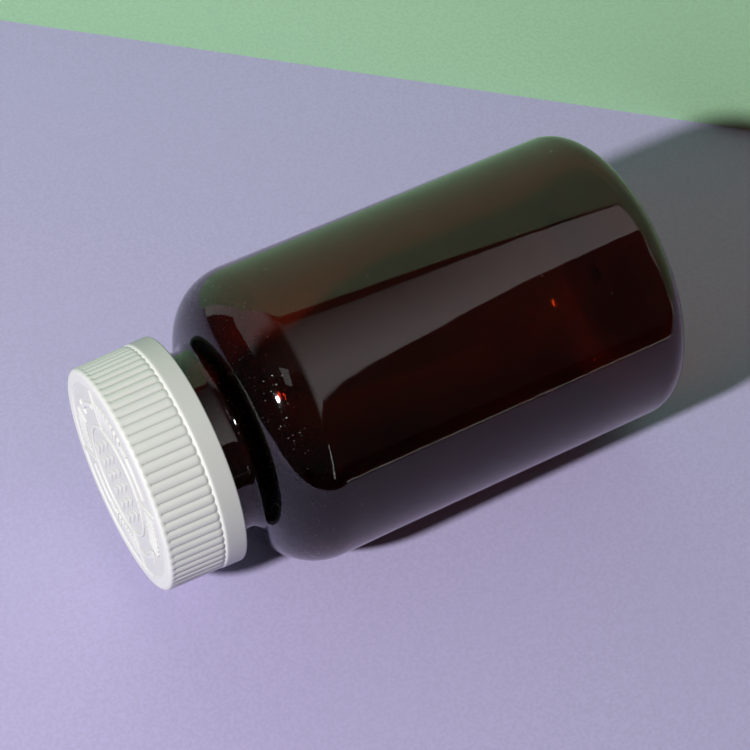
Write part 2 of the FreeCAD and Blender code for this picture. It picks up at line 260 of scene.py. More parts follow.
class Shape:
    """Points and faces gathered from several parts into one mesh."""

    def __init__(self):
        self.points = []
        self.faces = []

    def turned(self, outline, angles, reshape=None, closed=False):
        """Turns an outline about the axis. reshape gives a point's radius from radius, height and angle."""
        rings = []
        for radius, height in outline:
            first = len(self.points)
            if radius < TINY:
                self.points.append((0, 0, height))
                rings.append([first])
                continue
            for angle in angles:
                out = reshape(radius, height, angle) if reshape else radius
                self.points.append((*polar(out, angle), height))
            rings.append(range(first, first + len(angles)))
        pairs = list(zip(rings, rings[1:]))
        if closed:
            pairs.append((rings[-1], rings[0]))
        for low, high in pairs:
            self.wall(low, high, len(angles))
        return self

    def wall(self, low, high, count):
        """Faces between two rings of points that match one to one. A pole is a ring of one point."""
        for here in range(count):
            after = (here + 1) % count
            around = ((low, here), (low, after), (high, after), (high, here))
            corners = [ring[place % len(ring)] for ring, place in around]
            self.faces.append(tuple(dict.fromkeys(corners)))

    def block(self, near, far):
        """A solid block between two outlines of points that match one to one."""
        first, count = len(self.points), len(near)
        low, high = range(first, first + count), range(first + count, first + 2 * count)
        self.points += near + far
        self.faces += [tuple(reversed(low)), tuple(high)]
        self.wall(low, high, count)

    def mesh(self, name, smooth_below=40):
        """The finished mesh."""
        made = bpy.data.meshes.new(name)
        made.from_pydata(self.points, [], self.faces)
        made.validate()
        return shaded(made, smooth_below)


def shaded(mesh, smooth_below=40):
    """A mesh shaded smooth, except across edges sharper than an angle in degrees."""
    mesh.shade_smooth()
    mesh.set_sharp_from_angle(angle=math.radians(smooth_below))
    return mesh


def even_angles(count):
    """Angles evenly spaced round the axis."""
    return [math.tau * index / count for index in range(count)]


def soft_min(a, b, softness):
    """The smaller of two values, with a rounded change from one to the other."""
    blend = max(0.0, min(1.0, 0.5 + 0.5 * (b - a) / softness))
    return b + (a - b) * blend - softness * blend * (1 - blend)


def dome_height(radius, rim_radius, rim_height, apex_height):
    """Height of a round dome that passes its rim and its apex."""
    rise = apex_height - rim_height
    sphere = (rim_radius**2 + rise**2) / (2 * rise)
    return apex_height - (sphere - math.sqrt(sphere**2 - radius**2))


def in_scene(name, data):
    """A new object in the scene."""
    made = bpy.data.objects.new(name, data)
    bpy.context.scene.collection.objects.link(made)
    return made


def add_piece(name, mesh, body, material, nodes=()):
    """Puts a mesh in the scene as a piece that rides on a body."""
    piece = in_scene(name, mesh)
    mesh.materials.append(material)
    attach(piece, body)
    if nodes:
        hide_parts(*nodes)


# ---- bottle


def tangent_round(centre, reach, radius):
    """Where a small round at a given radius meets an arc: its centre and the angle of the touch."""
    height = math.sqrt(reach**2 - (radius - centre[0]) ** 2)
    return (radius, centre[1] + height), math.degrees(math.atan2(height, radius - centre[0]))


def shoulder_centre(s):
    """The middle of the shoulder's arc, as (radius, height)."""
    return s.body_radius - s.shoulder_radius, CAP_RIM - s.neck_showing - s.shoulder_radius


def corner_centre(s):
    """The middle of the base corner's arc, as (radius, height)."""
    return s.body_radius - s.corner_radius, s.corner_radius


def bottle_outside(s):
    """The wall's outer face, from the middle of the bottom to the neck."""
    corner, shoulder = corner_centre(s), shoulder_centre(s)
    ring_in = corner[0] - s.ring_width
    gate_radius, gate_height, gate_edge = 1.8 * MM, 0.5 * MM, 0.15 * MM
    gate = dome_height(gate_radius, ring_in, 0, s.push_up)
    line = Outline(0, gate - gate_height)
    line.bend((gate_radius, gate - gate_height), gate_edge, (gate_radius, gate), count=3)
    line.to(gate_radius, gate)
    line.dome(range(1, DOME_STEPS + 1), gate_radius, ring_in, 0, s.push_up)
    line.to(corner[0], 0).round(corner, s.corner_radius, -90, 0, count=20)
    line.to(s.body_radius, shoulder[1])
    fillet, touch = tangent_round(shoulder, s.shoulder_radius + s.neck_fillet, s.neck_radius + s.neck_fillet)
    line.round(shoulder, s.shoulder_radius, 0, touch, count=34)
    return line.round(fillet, s.neck_fillet, 180 + touch, 180, count=12)


def neck_outside(s, line):
    """The neck's outer face: bare wall, bead, threaded wall and lip."""
    slope, hollow, edge, plain_lip = 0.7 * MM, 0.3 * MM, 0.25 * MM, 1 * MM
    face_top = s.bead_top - slope
    face_foot = face_top - s.bead_height
    line.bend((s.neck_radius, face_foot - slope), hollow, (s.bead_radius, face_foot))
    line.bend((s.bead_radius, face_foot), edge, (s.bead_radius, face_top))
    line.bend((s.bead_radius, face_top), edge, (s.thread_root, s.bead_top))
    line.to(s.thread_root, s.bead_top)
    line.to(s.thread_root, s.lip_height - plain_lip, THREAD_STEP, even=True)
    line.bend((s.thread_root, s.lip_height), s.lip_rounding, (s.bore_radius, s.lip_height))


def bottle_inside(s, line):
    """The wall's inner face, from the lip down to the middle of the bottom."""
    corner, shoulder = corner_centre(s), shoulder_centre(s)
    ring_in = corner[0] - s.ring_width
    floor_top = s.push_up + s.wall + s.floor_extra
    reach = s.shoulder_radius - s.wall - s.shoulder_extra
    bore_corner, touch = tangent_round(shoulder, reach + s.bore_corner, s.bore_radius + s.bore_corner)
    line.bend((s.bore_radius, s.lip_height), s.lip_rounding, (bore_corner[0], 0))
    line.to(s.bore_radius, bore_corner[1])
    line.round(bore_corner, s.bore_corner, 180, 180 + touch, count=8)
    for step in range(1, SHOULDER_STEPS + 1):
        angle = math.radians(touch) * (1 - step / SHOULDER_STEPS)
        line.points.append(polar(reach + s.shoulder_extra * step / SHOULDER_STEPS, angle, shoulder))
    line.to(s.body_radius - s.wall, s.corner_radius)
    line.round(corner, s.corner_radius - s.wall, 0, -90, count=14).to(ring_in, s.wall)
    line.dome(range(DOME_STEPS - 1, -1, -1), 0, ring_in, s.wall, floor_top)


def bottle_outline(s):
    """The bottle's wall, up the outside from the middle of the bottom and back down the inside."""
    line = bottle_outside(s)
    neck_outside(s, line)
    bottle_inside(s, line)
    return line.points


def neck_thread(s):
    """How the thread lifts the wall of the neck: one ridge that climbs and fades at both ends."""
    climb = s.thread_turns * s.thread_pitch
    foot = s.lip_height - s.thread_below_lip - climb
    fade = 0.08
    softness = 0.35
    inner_limit = s.thread_root - 0.1 * MM
    top_limit = s.lip_height - 0.5 * MM

    def reshape(radius, height, angle):
        if radius < inner_limit or not foot - s.thread_width < height < top_limit:
            return radius
        raised = 0.0
        for turns in range(math.ceil(s.thread_turns) + 1):
            along = (angle / math.tau + turns) / s.thread_turns
            if not 0 <= along <= 1:
                continue
            full = math.sin(min(1.0, along / fade, (1 - along) / fade) * math.pi / 2)
            middle = foot + climb * along
            flank = (s.thread_width / 2 - abs(height - middle)) / s.thread_slope
            raised = max(raised, soft_min(full, flank, softness))
        return radius + s.thread_depth * raised

    return reshape


class PHARMACY_OT_bottle(bpy.types.Operator):
    """Build the blown amber bottle"""

    bl_idname = "pharmacy.bottle"
    bl_label = "Bottle"

    def execute(self, context):
        sizes = context.scene.pharmacy_bottle
        shape = Shape().turned(bottle_outline(sizes), even_angles(BOTTLE_SIDES), neck_thread(sizes))
        mesh = shape.mesh("bottle_shell", smooth_below=60)
        material = amber_plastic(context.scene.pharmacy_finish, sizes)
        add_piece("bottle_shell", mesh, "bottle", material, ["bottle"])
        return {"FINISHED"}


# ---- outer cap


def rib_angles(s):
    """Angles round the cap: each rib gets the same few, closest together along its edges."""
    half = math.pi / s.rib_count
    spread = (0, 0.25, 0.5, 0.72, 0.88, 0.965)
    offsets = sorted([x * half for x in spread] + [-x * half for x in spread[1:]] + [half])
    return [s.rib_start + 2 * half * rib + offset for rib in range(s.rib_count) for offset in offsets]


def rib_heights(s):
    """Heights of the ribs: their foot, where their round tips start, and where the grooves end."""
    foot = CAP_RIM + s.band_height
    return foot, foot + s.rib_slope / 4, CAP_TOP - s.top_rounding / 2


def cap_radius(s, height):
    """Outside radius of the tapered skirt at a height."""
    return s.rim_radius - s.taper * (height - CAP_RIM) / (CAP_TOP - CAP_RIM)


def ribbing(s):
    """How the grooves cut the skirt: round-backed ribs with round lower ends, above a sloping ledge."""
    foot, tip, crown = rib_heights(s)
    pitch = math.tau / s.rib_count
    reach = math.sqrt(s.rib_radius**2 - (s.rib_radius - s.rib_depth) ** 2)
    outside = s.bore_radius + 0.2 * MM
    end_cut, softness = 0.42, 0.12 * MM

    def reshape(radius, height, angle):
        if height < foot or radius < outside:
            return radius
        skin = cap_radius(s, height)
        run_out = max(end_cut, (crown - height) / s.rib_head)
        cut = min(1.0, (height - foot) / s.rib_slope, run_out)
        floor = skin - (s.rib_inset + s.rib_depth) * cut
        off = (((angle - s.rib_start) / pitch + 0.5) % 1 - 0.5) * pitch
        centre = skin - s.rib_inset - s.rib_radius
        below = max(0.0, tip + s.rib_tip - height) * reach / s.rib_tip
        room = s.rib_radius**2 - (centre * math.sin(off)) ** 2 - below**2
        rib = centre * math.cos(off) + math.sqrt(room) if room > 0 else 0
        return soft_min(radius, max(floor, rib), softness)

    return reshape


def cap_outline(s):
    """The outer cap's wall: down the bore, round the rim, up the skirt and over the top."""
    rim, top = CAP_RIM, CAP_TOP
    underside = top - s.plate
    snap = rim + s.snap_rise
    plate_hollow, rim_inner, rim_outer, panel_edge = 0.4 * MM, 0.15 * MM, 0.35 * MM, 0.25 * MM
    line = Outline(0, underside)
    line.bend((s.bore_radius, underside), plate_hollow, (s.bore_radius, snap))
    line.to(s.bore_radius, snap + s.snap_height / 2).to(s.bore_radius - s.snap_depth, snap)
    line.to(s.bore_radius, snap - s.snap_height / 2)
    line.bend((s.bore_radius, rim), rim_inner, (s.rim_radius, rim))
    line.bend((s.rim_radius, rim), rim_outer, (cap_radius(s, top), top), count=6)
    for part in (0.12, 0.5, 0.9):
        height = rim + s.band_height * part
        line.to(cap_radius(s, height), height)
    foot, tip, crown = rib_heights(s)
    runs = [(foot, 1), (tip, 0.05), (tip + s.rib_tip, 0.1)]
    runs += [(crown - s.rib_head, 1.5), (top - s.top_rounding, 0.2)]
    for height, step in runs:
        line.to(cap_radius(s, height), height, step * MM, even=True)
    line.bend((cap_radius(s, top), top), s.top_rounding, (0, top), count=16)
    half, floor = s.panel_depth / 2, top - s.panel_depth
    line.bend((s.panel_radius + half, top), panel_edge, (s.panel_radius - half, floor))
    line.bend((s.panel_radius - half, floor), panel_edge, (0, floor))
    return line.to(0, floor, 4 * MM).points


def turned_corners(corners, angle, out=0.0):
    """Corners moved outward along the first axis, then turned about the origin."""
    cos, sin = math.cos(angle), math.sin(angle)
    return [((x + out) * cos - y * sin, (x + out) * sin + y * cos) for x, y in corners]


def drive_lugs(shape, s):
    """Hanging lugs under the plate, each with one upright face and one ramp."""
    underside = CAP_TOP - s.plate
    half_angle, sunk = math.radians(3), 0.2 * MM
    half = half_angle * (s.lug_inner + s.lug_length / 2)
    ramp_end = 0.1 * half
    across = (-half, -half, ramp_end, half, half)
    rises = (sunk, 0, -s.lug_height, -s.lug_height, sunk)
    for index in range(s.lug_count):
        angle = math.tau * (index + 0.5) / s.lug_count
        ends = []
        for out in (s.lug_inner + s.lug_length, s.lug_inner):
            corners = turned_corners([(0, place) for place in across], angle, out)
            ends.append([(x, y, underside + rise) for (x, y), rise in zip(corners, rises)])
        shape.block(*ends)


def bar_corners(long, wide):
    """Corners of a bar centred on the origin."""
    x, y = long / 2, wide / 2
    return [(-x, -y), (x, -y), (x, y), (-x, y)]


def arc_points(radius, start, sweep, count=16):
    """Points along an arc about the origin."""
    return [polar(radius, start + sweep * index / count) for index in range(count + 1)]


def turn_arrow(radius, width, start, sweep, head):
    """Corners of a curved arrow about the axis, pointing anticlockwise."""
    foot, half = start + sweep, head / 2
    point = [polar(radius + half, foot), polar(radius, foot + head / radius), polar(radius - half, foot)]
    inner = arc_points(radius - width / 2, start, sweep)
    return arc_points(radius + width / 2, start, sweep) + point + inner[::-1]


def round_marks(s, hub, line, bar_length, bar_middle):
    """Corners of the marks round the panel: spokes, with an arrow after each and a fan of bars before."""
    spokes, bar_count = (151, 64, -29, -116), 7
    gap, bar_step, arrow_sweep = 7, 5.2, math.radians(30)
    bar_width, arrow_width, arrow_head = 1.15 * MM, 1.2 * MM, 3.4 * MM
    spoke_length = s.panel_radius - hub
    for spoke in spokes:
        yield turned_corners(bar_corners(spoke_length, line), math.radians(spoke), hub + spoke_length / 2)
        yield turn_arrow(bar_middle, arrow_width, math.radians(spoke + gap), arrow_sweep, arrow_head)
        for bar in range(bar_count):
            angle = math.radians(spoke - gap - bar_step * bar)
            yield turned_corners(bar_corners(bar_length, bar_width), angle, bar_middle)


def hub_marks(hub):
    """Corners of the three rows of wedges inside the hub ring."""
    width, height, pitch, row_pitch, margin = 2.6 * MM, 3.2 * MM, 3.2 * MM, 4.9 * MM, 6.4 * MM
    for row in (1, 0, -1):
        y = row * row_pitch
        count = int((2 * math.sqrt(hub**2 - y**2) - margin) / pitch) + 1
        top = y + height / 2
        for index in range(count):
            x = (index - (count - 1) / 2) * pitch
            yield [(x, top - height), (x + width / 2, top), (x - width / 2, top)]


def soften_tops(mesh, top, edge):
    """Rounds the upper edges of the marks in a mesh."""
    edit = bmesh.new()
    edit.from_mesh(mesh)
    upper = [e for e in edit.edges if min(v.co.z for v in e.verts) > top - TINY and e.calc_face_angle(0) > 1]
    bmesh.ops.bevel(edit, geom=upper, offset=edge, segments=4, profile=0.5, affect="EDGES")
    edit.to_mesh(mesh)
    edit.free()
    return shaded(mesh)


def raised_marks(s):
    """The raised marks' mesh: spokes, bars, arrows, wedges and the hub ring."""
    floor, sunk, edge = CAP_TOP - s.panel_depth, 0.2 * MM, 0.3 * MM
    foot, top = floor - sunk, floor + s.mark_height
    line, bar_length, edge_gap, hub_gap = 0.85 * MM, 4.2 * MM, 2.6 * MM, 2.9 * MM
    bar_out = s.panel_radius - edge_gap
    bar_middle = bar_out - bar_length / 2
    hub = bar_out - bar_length - hub_gap
    shape = Shape()
    for outline in [*round_marks(s, hub, line, bar_length, bar_middle), *hub_marks(hub)]:
        shape.block(*([(x, y, height) for x, y in outline] for height in (foot, top)))
    inner, outer = hub - line / 2, hub + line / 2
    ring = [(inner, foot), (outer, foot), (outer, top), (inner, top)]
    shape.turned(ring, even_angles(HUB_SIDES), closed=True)
    return soften_tops(shape.mesh("cap_marks"), top, edge)


class PHARMACY_OT_outer_cap(bpy.types.Operator):
    """Build the ribbed outer cap and the raised marks on its top"""

    bl_idname = "pharmacy.outer_cap"
    bl_label = "Outer cap"

    def execute(self, context):
        sizes = context.scene.pharmacy_cap
        shape = Shape().turned(cap_outline(sizes), rib_angles(sizes), ribbing(sizes))
        drive_lugs(shape, sizes)
        material = cap_plastic(context.scene.pharmacy_finish, sizes)
        add_piece("cap_shell", shape.mesh("cap_shell"), "outer", material, ["outer_cap"])
        add_piece("cap_marks", raised_marks(sizes), "outer", material)
        return {"FINISHED"}


# ---- inner cap and liner


def dress(node, material):
    """Gives a piece of the frame its finish."""
    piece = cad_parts[node]
    piece.data.materials.clear()
    piece.data.materials.append(material)


class PHARMACY_OT_inner_parts(bpy.types.Operator):
    """Finish the threaded inner cap and the liner"""

    bl_idname = "pharmacy.inner_parts"
    bl_label = "Inner cap and liner"

    def execute(self, context):
        finish = context.scene.pharmacy_finish
        dress("inner_cap", inner_plastic(finish))
        dress("liner", pulp_board(finish))
        return {"FINISHED"}


# ---- shader effects


class Nodes:
    """Adds nodes to a tree. An input is a plain value, or the socket that feeds it."""

    def __init__(self, tree):
        self.tree = tree

    def fill(self, node, inputs):
        """Sets or feeds inputs of a node."""
        for key, value in inputs.items():
            if isinstance(value, bpy.types.NodeSocket):
                self.tree.links.new(value, node.inputs[key])
            else:
                node.inputs[key].default_value = value
        return node

    def add(self, kind, inputs=None, **settings):
        """A new node with its settings and inputs."""
        made = self.tree.nodes.new("ShaderNode" + kind)
        for key, value in settings.items():
            setattr(made, key, value)
        return self.fill(made, inputs or {})

    def place(self):
        """Where a point lies on the object."""
        return self.add("TexCoord").outputs["Object"]

    def height(self, place):
        """Height of a place above the standing ring."""
        return self.add("SeparateXYZ", {"Vector": place}).outputs[2]

    def radius(self, place):
        """Distance of a place from the bottle's axis."""
        flat = self.add("VectorMath", {0: place, 1: (1, 1, 0)}, operation="MULTIPLY").outputs["Vector"]
        return self.add("VectorMath", {0: flat}, operation="LENGTH").outputs["Value"]

    def math(self, operation, a, b=0.0, clamp=False):
        """One step of arithmetic on two values."""
        return self.add("Math", {0: a, 1: b}, operation=operation, use_clamp=clamp).outputs[0]

    def times(self, a, b):
        """One value multiplied by another."""
        return self.math("MULTIPLY", a, b)

    def ramp(self, value, low, high, to_low=0.0, to_high=1.0, kind="SMOOTHSTEP"):
        """A change from one value to another as the input goes from low to high."""
        inputs = {"Value": value, "From Min": low, "From Max": high, "To Min": to_low, "To Max": to_high}
        return self.add("MapRange", inputs, interpolation_type=kind).outputs[0]

    def wander(self, noise, low=0.0, high=1.0, spread=0.2):
        """A noise stretched to run from one value to another."""
        return self.ramp(noise, 0.5 - spread, 0.5 + spread, low, high)

    def noise(self, place, size, detail):
        """Soft noise with features of a given size in millimetres."""
        inputs = {"Vector": place, "Scale": self.math("DIVIDE", 1 / MM, size), "Detail": detail}
        return self.add("TexNoise", inputs).outputs[0]

    def mix_colour(self, factor, a, b):
        """One colour that gives way to another."""
        return self.add("Mix", {0: factor, 6: a, 7: b}, data_type="RGBA").outputs[2]

    def mottled(self, noise, tint, low, high, spread=0.2):
        """A colour that varies a little with a noise, between two factors."""
        return self.mix_colour(self.wander(noise, spread=spread), scaled(tint, low), scaled(tint, high))

    def bump(self, height, strength, depth, **under):
        """A surface raised by a pattern, to a depth in millimetres. under may give the Normal below it."""
        inputs = {"Strength": strength, "Distance": depth * MM, "Height": height, **under}
        return self.add("Bump", inputs).outputs[0]

    def clear_where(self, mask, shader):
        """A surface that is clear where the mask is 1."""
        clear = self.add("BsdfTransparent").outputs[0]
        return self.add("MixShader", {0: mask, 1: shader.outputs[0], 2: clear}).outputs[0]


def scaled(tint, factor):
    """A linear colour made lighter or darker."""
    return tuple(min(1.0, part * factor) for part in tint) + (1.0,)


def effect(name, inputs, outputs):
    """A new shader group with float inputs and outputs, ready for nodes."""
    tree = bpy.data.node_groups.new(name, "ShaderNodeTree")
    for socket, default in inputs.items():
        made = tree.interface.new_socket(name=socket, in_out="INPUT", socket_type="NodeSocketFloat")
        made.default_value = default
    for socket in outputs:
        tree.interface.new_socket(name=socket, in_out="OUTPUT", socket_type="NodeSocketFloat")
    return tree, Nodes(tree), tree.nodes.new("NodeGroupInput").outputs, tree.nodes.new("NodeGroupOutput")


def dust_effect(name):
    """Scattered specks: each cell of a fine pattern may hold one, of its own size."""
    tree, nodes, given, out = effect(name, {"Spacing": 1.5, "Speck": 0.1, "Amount": 0.3}, ["Mask"])
    scale = nodes.math("DIVIDE", 1 / MM, given["Spacing"])
    cells = nodes.add("TexVoronoi", {"Vector": nodes.place(), "Scale": scale}).outputs
    pick = nodes.add("SeparateColor", {"Color": cells["Color"]}).outputs
    size = nodes.math("DIVIDE", nodes.times(given["Speck"], pick[1]), given["Spacing"])
    near = nodes.math("SUBTRACT", 1.0, nodes.math("DIVIDE", cells["Distance"], size), clamp=True)
    chosen = nodes.math("LESS_THAN", pick[0], given["Amount"])
    nodes.fill(out, {"Mask": nodes.times(nodes.ramp(near, 0.0, 0.5), chosen)})
    return tree


def scratch_effect(name):
    """Short hairlines in three directions, from stretched noise."""
    tree, nodes, given, out = effect(name, {"Fineness": 1.0, "Amount": 0.3}, ["Mask"])
    place = nodes.place()
    across, along = 2600, 150
    rarest, commoner, softness = 0.86, 0.2, 0.03
    low = nodes.math("SUBTRACT", rarest, nodes.times(given["Amount"], commoner))
    high = nodes.math("ADD", low, softness)
    total = 0.0
    for turned in ((0.3, 0.2, 0.5), (1.1, 0.7, -0.6), (-0.5, 1.3, 0.2)):
        laid = nodes.add("Mapping", {"Vector": place, "Rotation": turned, "Scale": (across, across, along)})
        inputs = {"Vector": laid.outputs[0], "Scale": given["Fineness"], "Detail": 0.0}
        streaks = nodes.add("TexNoise", inputs).outputs[0]
        total = nodes.math("MAXIMUM", nodes.ramp(streaks, low, high), total)
    nodes.fill(out, {"Mask": total})
    return tree


def grain_effect(name):
    """Fine even grain and a slow unevenness, as moulded plastic and board have."""
    tree, nodes, given, out = effect(name, {"Grain": 0.25, "Drift": 12.0}, ["Height", "Drift"])
    place = nodes.place()
    fine, slow = nodes.noise(place, given["Grain"], 3.0), nodes.noise(place, given["Drift"], 2.0)
    nodes.fill(out, {"Height": fine, "Drift": slow})
    return tree


DUST, HAIRLINES, GRAIN = "Settled dust", "Hairline scratches", "Fine grain"
EFFECTS = {DUST: dust_effect, HAIRLINES: scratch_effect, GRAIN: grain_effect}


def use(nodes, name, inputs):
    """Places a shared effect in a material, and builds it at its first use."""
    tree = bpy.data.node_groups.get(name) or EFFECTS[name](name)
    return nodes.add("Group", inputs, node_tree=tree).outputs


def new_material(name, settings):
    """A material with a Principled shader, and the tools to add nodes to it."""
    material = bpy.data.materials.new(name)
    material.use_nodes = True
    nodes = Nodes(material.node_tree)
    return material, nodes, nodes.fill(material.node_tree.nodes["Principled BSDF"], settings)


def emptied(owner):
    """The tools to add nodes to a material or a world that holds none."""
    owner.use_nodes = True
    owner.node_tree.nodes.clear()
    return Nodes(owner.node_tree)


# ---- materials


def amber_plastic(finish, s):
    """Dark amber, glossy and clear, faintly rippled, with dust and hairlines thickest on the shoulder."""
    settings = {"Transmission Weight": 1.0, "IOR": finish.amber_ior, "Metallic": 0.0, "Coat Roughness": 0.3}
    material, nodes, shader = new_material("amber_plastic", settings)
    shoulder_foot = shoulder_centre(s)[1]
    body_dust, hair_share, dull, uneven = 0.2, 0.8, 0.45, 0.02
    height = nodes.height(nodes.place())
    handled = nodes.ramp(height, shoulder_foot - 2 * MM, shoulder_foot + 6 * MM)
    drift = use(nodes, GRAIN, {"Grain": 3.0, "Drift": 16.0})["Drift"]

    amount = nodes.math("ADD", nodes.times(handled, finish.dust), finish.dust * body_dust)
    dust = use(nodes, DUST, {"Spacing": 1.0, "Speck": 0.2, "Amount": amount})["Mask"]
    hairs = use(nodes, HAIRLINES, {"Fineness": 1.0, "Amount": 0.2})["Mask"]
    marked = nodes.math("MAXIMUM", dust, nodes.times(nodes.times(hairs, handled), hair_share))

    film = nodes.ramp(drift, 0.4, 0.75, finish.amber_roughness, finish.amber_roughness + uneven)
    rough = nodes.math("ADD", film, nodes.times(marked, dull), clamp=True)
    ripple = nodes.bump(drift, 0.15, 0.2)
    nodes.fill(shader, {
        "Base Color": nodes.mottled(drift, (1, 1, 1), 0.93, 1.0),
        "Roughness": rough,
        "Coat Weight": marked,
        "Normal": nodes.bump(marked, 0.5, 0.02, Normal=ripple),
    })
    stain(nodes, shader, finish.amber, s.wall)
    return material


def stain(nodes, shader, tint, depth):
    """Colours clear plastic all through: white light takes this tint in this depth, in shadows too."""
    loss = [-math.log(part) / depth for part in tint]
    headroom = 1.02  # no part of the colour reaches nought
    density = max(loss) * headroom
    absorbed = {"Color": [1 - part / density for part in loss] + [1.0], "Density": density}
    shadow = nodes.add("LightPath").outputs["Is Shadow Ray"]
    surface = nodes.clear_where(shadow, shader)
    volume = nodes.add("VolumeAbsorption", absorbed).outputs[0]
    nodes.fill(nodes.tree.nodes["Material Output"], {"Surface": surface, "Volume": volume})


def painted_groove_shade(nodes, s, height, radius):
    """How much painted shade darkens the grooves' floors, less towards their ends."""
    foot, _, crown = rib_heights(s)
    skin = (CAP_RIM, CAP_TOP, s.rim_radius, s.rim_radius - s.taper)
    depth = nodes.math("SUBTRACT", nodes.ramp(height, *skin, kind="LINEAR"), radius)
    # painted shade: the deepest groove floors mix this share of black into the cap's colour
    darkest_painted_shade, least_depth = 0.32, 0.12 * MM
    deep = nodes.ramp(depth, s.rib_inset + least_depth, s.rib_inset + s.rib_depth, 0.0, darkest_painted_shade)
    deep = nodes.times(deep, nodes.ramp(height, crown - s.rib_head, crown, 1.0, 0.0))
    return nodes.times(deep, nodes.ramp(height, foot + 0.2 * MM, foot + 1.3 * MM))


def painted_panel_shade(nodes, s, height, radius):
    """How much painted shade darkens the sunk panel round the feet of the marks."""
    floor = CAP_TOP - s.panel_depth
    # painted shade: the panel floor is a tenth darker, fading out up the marks' sides
    low = nodes.ramp(height, floor + 0.02 * MM, floor + s.mark_height, 0.1, 0.0)
    inside = nodes.ramp(radius, s.panel_radius - 0.5 * MM, s.panel_radius, 1.0, 0.0)
    above = nodes.ramp(height, floor - 0.3 * MM, floor - 0.1 * MM)
    return nodes.times(low, nodes.times(inside, above))


def cap_plastic(finish, s):
    """Satin white plastic with grain, specks and rubs, with painted shade in the grooves, round the panel's
    marks and on the band.
    """
    material, nodes, shader = new_material("cap_plastic", {"IOR": 1.49})
    grain = use(nodes, GRAIN, {"Grain": 0.22, "Drift": 9.0})
    rubs = use(nodes, HAIRLINES, {"Fineness": 0.8, "Amount": 0.35})["Mask"]
    specks = use(nodes, DUST, {"Spacing": 2.4, "Speck": 0.5, "Amount": 0.12})["Mask"]
    place = nodes.place()
    height, radius = nodes.height(place), nodes.radius(place)

    body = nodes.mottled(grain["Drift"], finish.cap_white, 0.985, 1.01)
    grime, speck_share, rub_dulling, painted_band_shade = (0.42, 0.39, 0.34, 1), 0.35, 0.15, 0.8
    body = nodes.mix_colour(nodes.times(specks, speck_share), body, grime)
    # painted shade in the grooves and round the panel's marks, mixed towards black
    for shade in (painted_groove_shade, painted_panel_shade):
        body = nodes.mix_colour(shade(nodes, s, height, radius), body, PAINTED_SHADE_BLACK)
    # painted shade: the plain band under the ribs is coloured darker than the ribs
    band_top = CAP_RIM + s.band_height
    band = nodes.ramp(height, band_top - 0.4 * MM, band_top, 1.0, 0.0)
    rough = nodes.wander(grain["Drift"], finish.cap_roughness - 0.04, finish.cap_roughness + 0.05)
    nodes.fill(shader, {
        "Base Color": nodes.mix_colour(band, body, scaled(finish.cap_white, painted_band_shade)),
        "Roughness": nodes.math("ADD", rough, nodes.times(rubs, rub_dulling), clamp=True),
        "Normal": nodes.bump(grain["Height"], 0.25, 0.02),
    })
    return material


def inner_plastic(finish):
    """Plain white moulded plastic with a dull grain."""
    material, nodes, shader = new_material("inner_plastic", {"IOR": 1.49})
    grain = use(nodes, GRAIN, {"Grain": 0.3, "Drift": 7.0})
    nodes.fill(shader, {
        "Base Color": nodes.mottled(grain["Drift"], finish.inner_white, 0.96, 1.02),
        "Roughness": nodes.wander(grain["Drift"], 0.42, 0.52),
        "Normal": nodes.bump(grain["Height"], 0.3, 0.03),
    })
    return material


def pulp_board(finish):
    """Matt pulp board with fibres and flecks."""
    material, nodes, shader = new_material("pulp_board", {"IOR": 1.45})
    grain = use(nodes, GRAIN, {"Grain": 0.5, "Drift": 4.0})
    fibres = use(nodes, HAIRLINES, {"Fineness": 0.6, "Amount": 0.9})["Mask"]
    body = nodes.mottled(grain["Height"], finish.liner_board, 0.88, 1.08)
    dark, fibre_share = scaled(finish.liner_board, 0.62), 0.4
    nodes.fill(shader, {
        "Base Color": nodes.mix_colour(nodes.times(fibres, fibre_share), body, dark),
        "Roughness": nodes.wander(grain["Drift"], 0.82, 0.95),
        "Normal": nodes.bump(grain["Height"], 0.5, 0.06),
    })
    return material


# ---- studio


def lie_axes(s):
    """Directions of the surface it lies on: across towards the viewer, along the bottle, and up."""
    up = Vector((math.sin(s.lie_azimuth), -math.cos(s.lie_azimuth), 0))
    along = Vector((0, 0, 1))
    return up.cross(along), along, up


def stage_point(s, across, along, up):
    """A place on the stage, from its distances along those directions."""
    axes = lie_axes(s)
    return axes[0] * across + axes[1] * along + axes[2] * up


def paper_material(name, tint):
    """Pale matt paper. Its back is clear to the camera, so that it never hides the bottle."""
    material, nodes, shader = new_material(name, {"Roughness": 0.85, "IOR": 1.35})
    grain = use(nodes, GRAIN, {"Grain": 0.8, "Drift": 60.0})
    nodes.fill(shader, {"Base Color": nodes.mottled(grain["Height"], tint, 0.96, 1.04, spread=0.15)})
    behind = nodes.add("NewGeometry").outputs["Backfacing"]
    seen = nodes.add("LightPath").outputs["Is Camera Ray"]
    surface = nodes.clear_where(nodes.times(behind, seen), shader)
    nodes.fill(material.node_tree.nodes["Material Output"], {"Surface": surface})
    return material


def glow_material(name, strength, pattern=None):
    """An even glow, or one whose strength follows a pattern of nodes."""
    material = bpy.data.materials.new(name)
    nodes = emptied(material)
    if pattern:
        strength = nodes.times(pattern(nodes), strength)
    glow = nodes.add("Emission", {"Color": WHITE, "Strength": strength})
    nodes.add("OutputMaterial", {"Surface": glow.outputs[0]})
    return material


def stage_sheet(s, name, places, material, hidden=True, lights=True):
    """A flat sheet of the stage, with corners that run anticlockwise seen from its front.

    The camera doesn't see a hidden one. Matt surfaces take no light from it where lights is off.
    """
    mesh = bpy.data.meshes.new(name)
    corners = [tuple(stage_point(s, *place)) for place in places]
    mesh.from_pydata(corners, [], [tuple(range(len(corners)))])
    mesh.materials.append(material)
    sheet = in_scene(name, mesh)
    sheet.visible_camera = not hidden
    sheet.visible_diffuse = lights


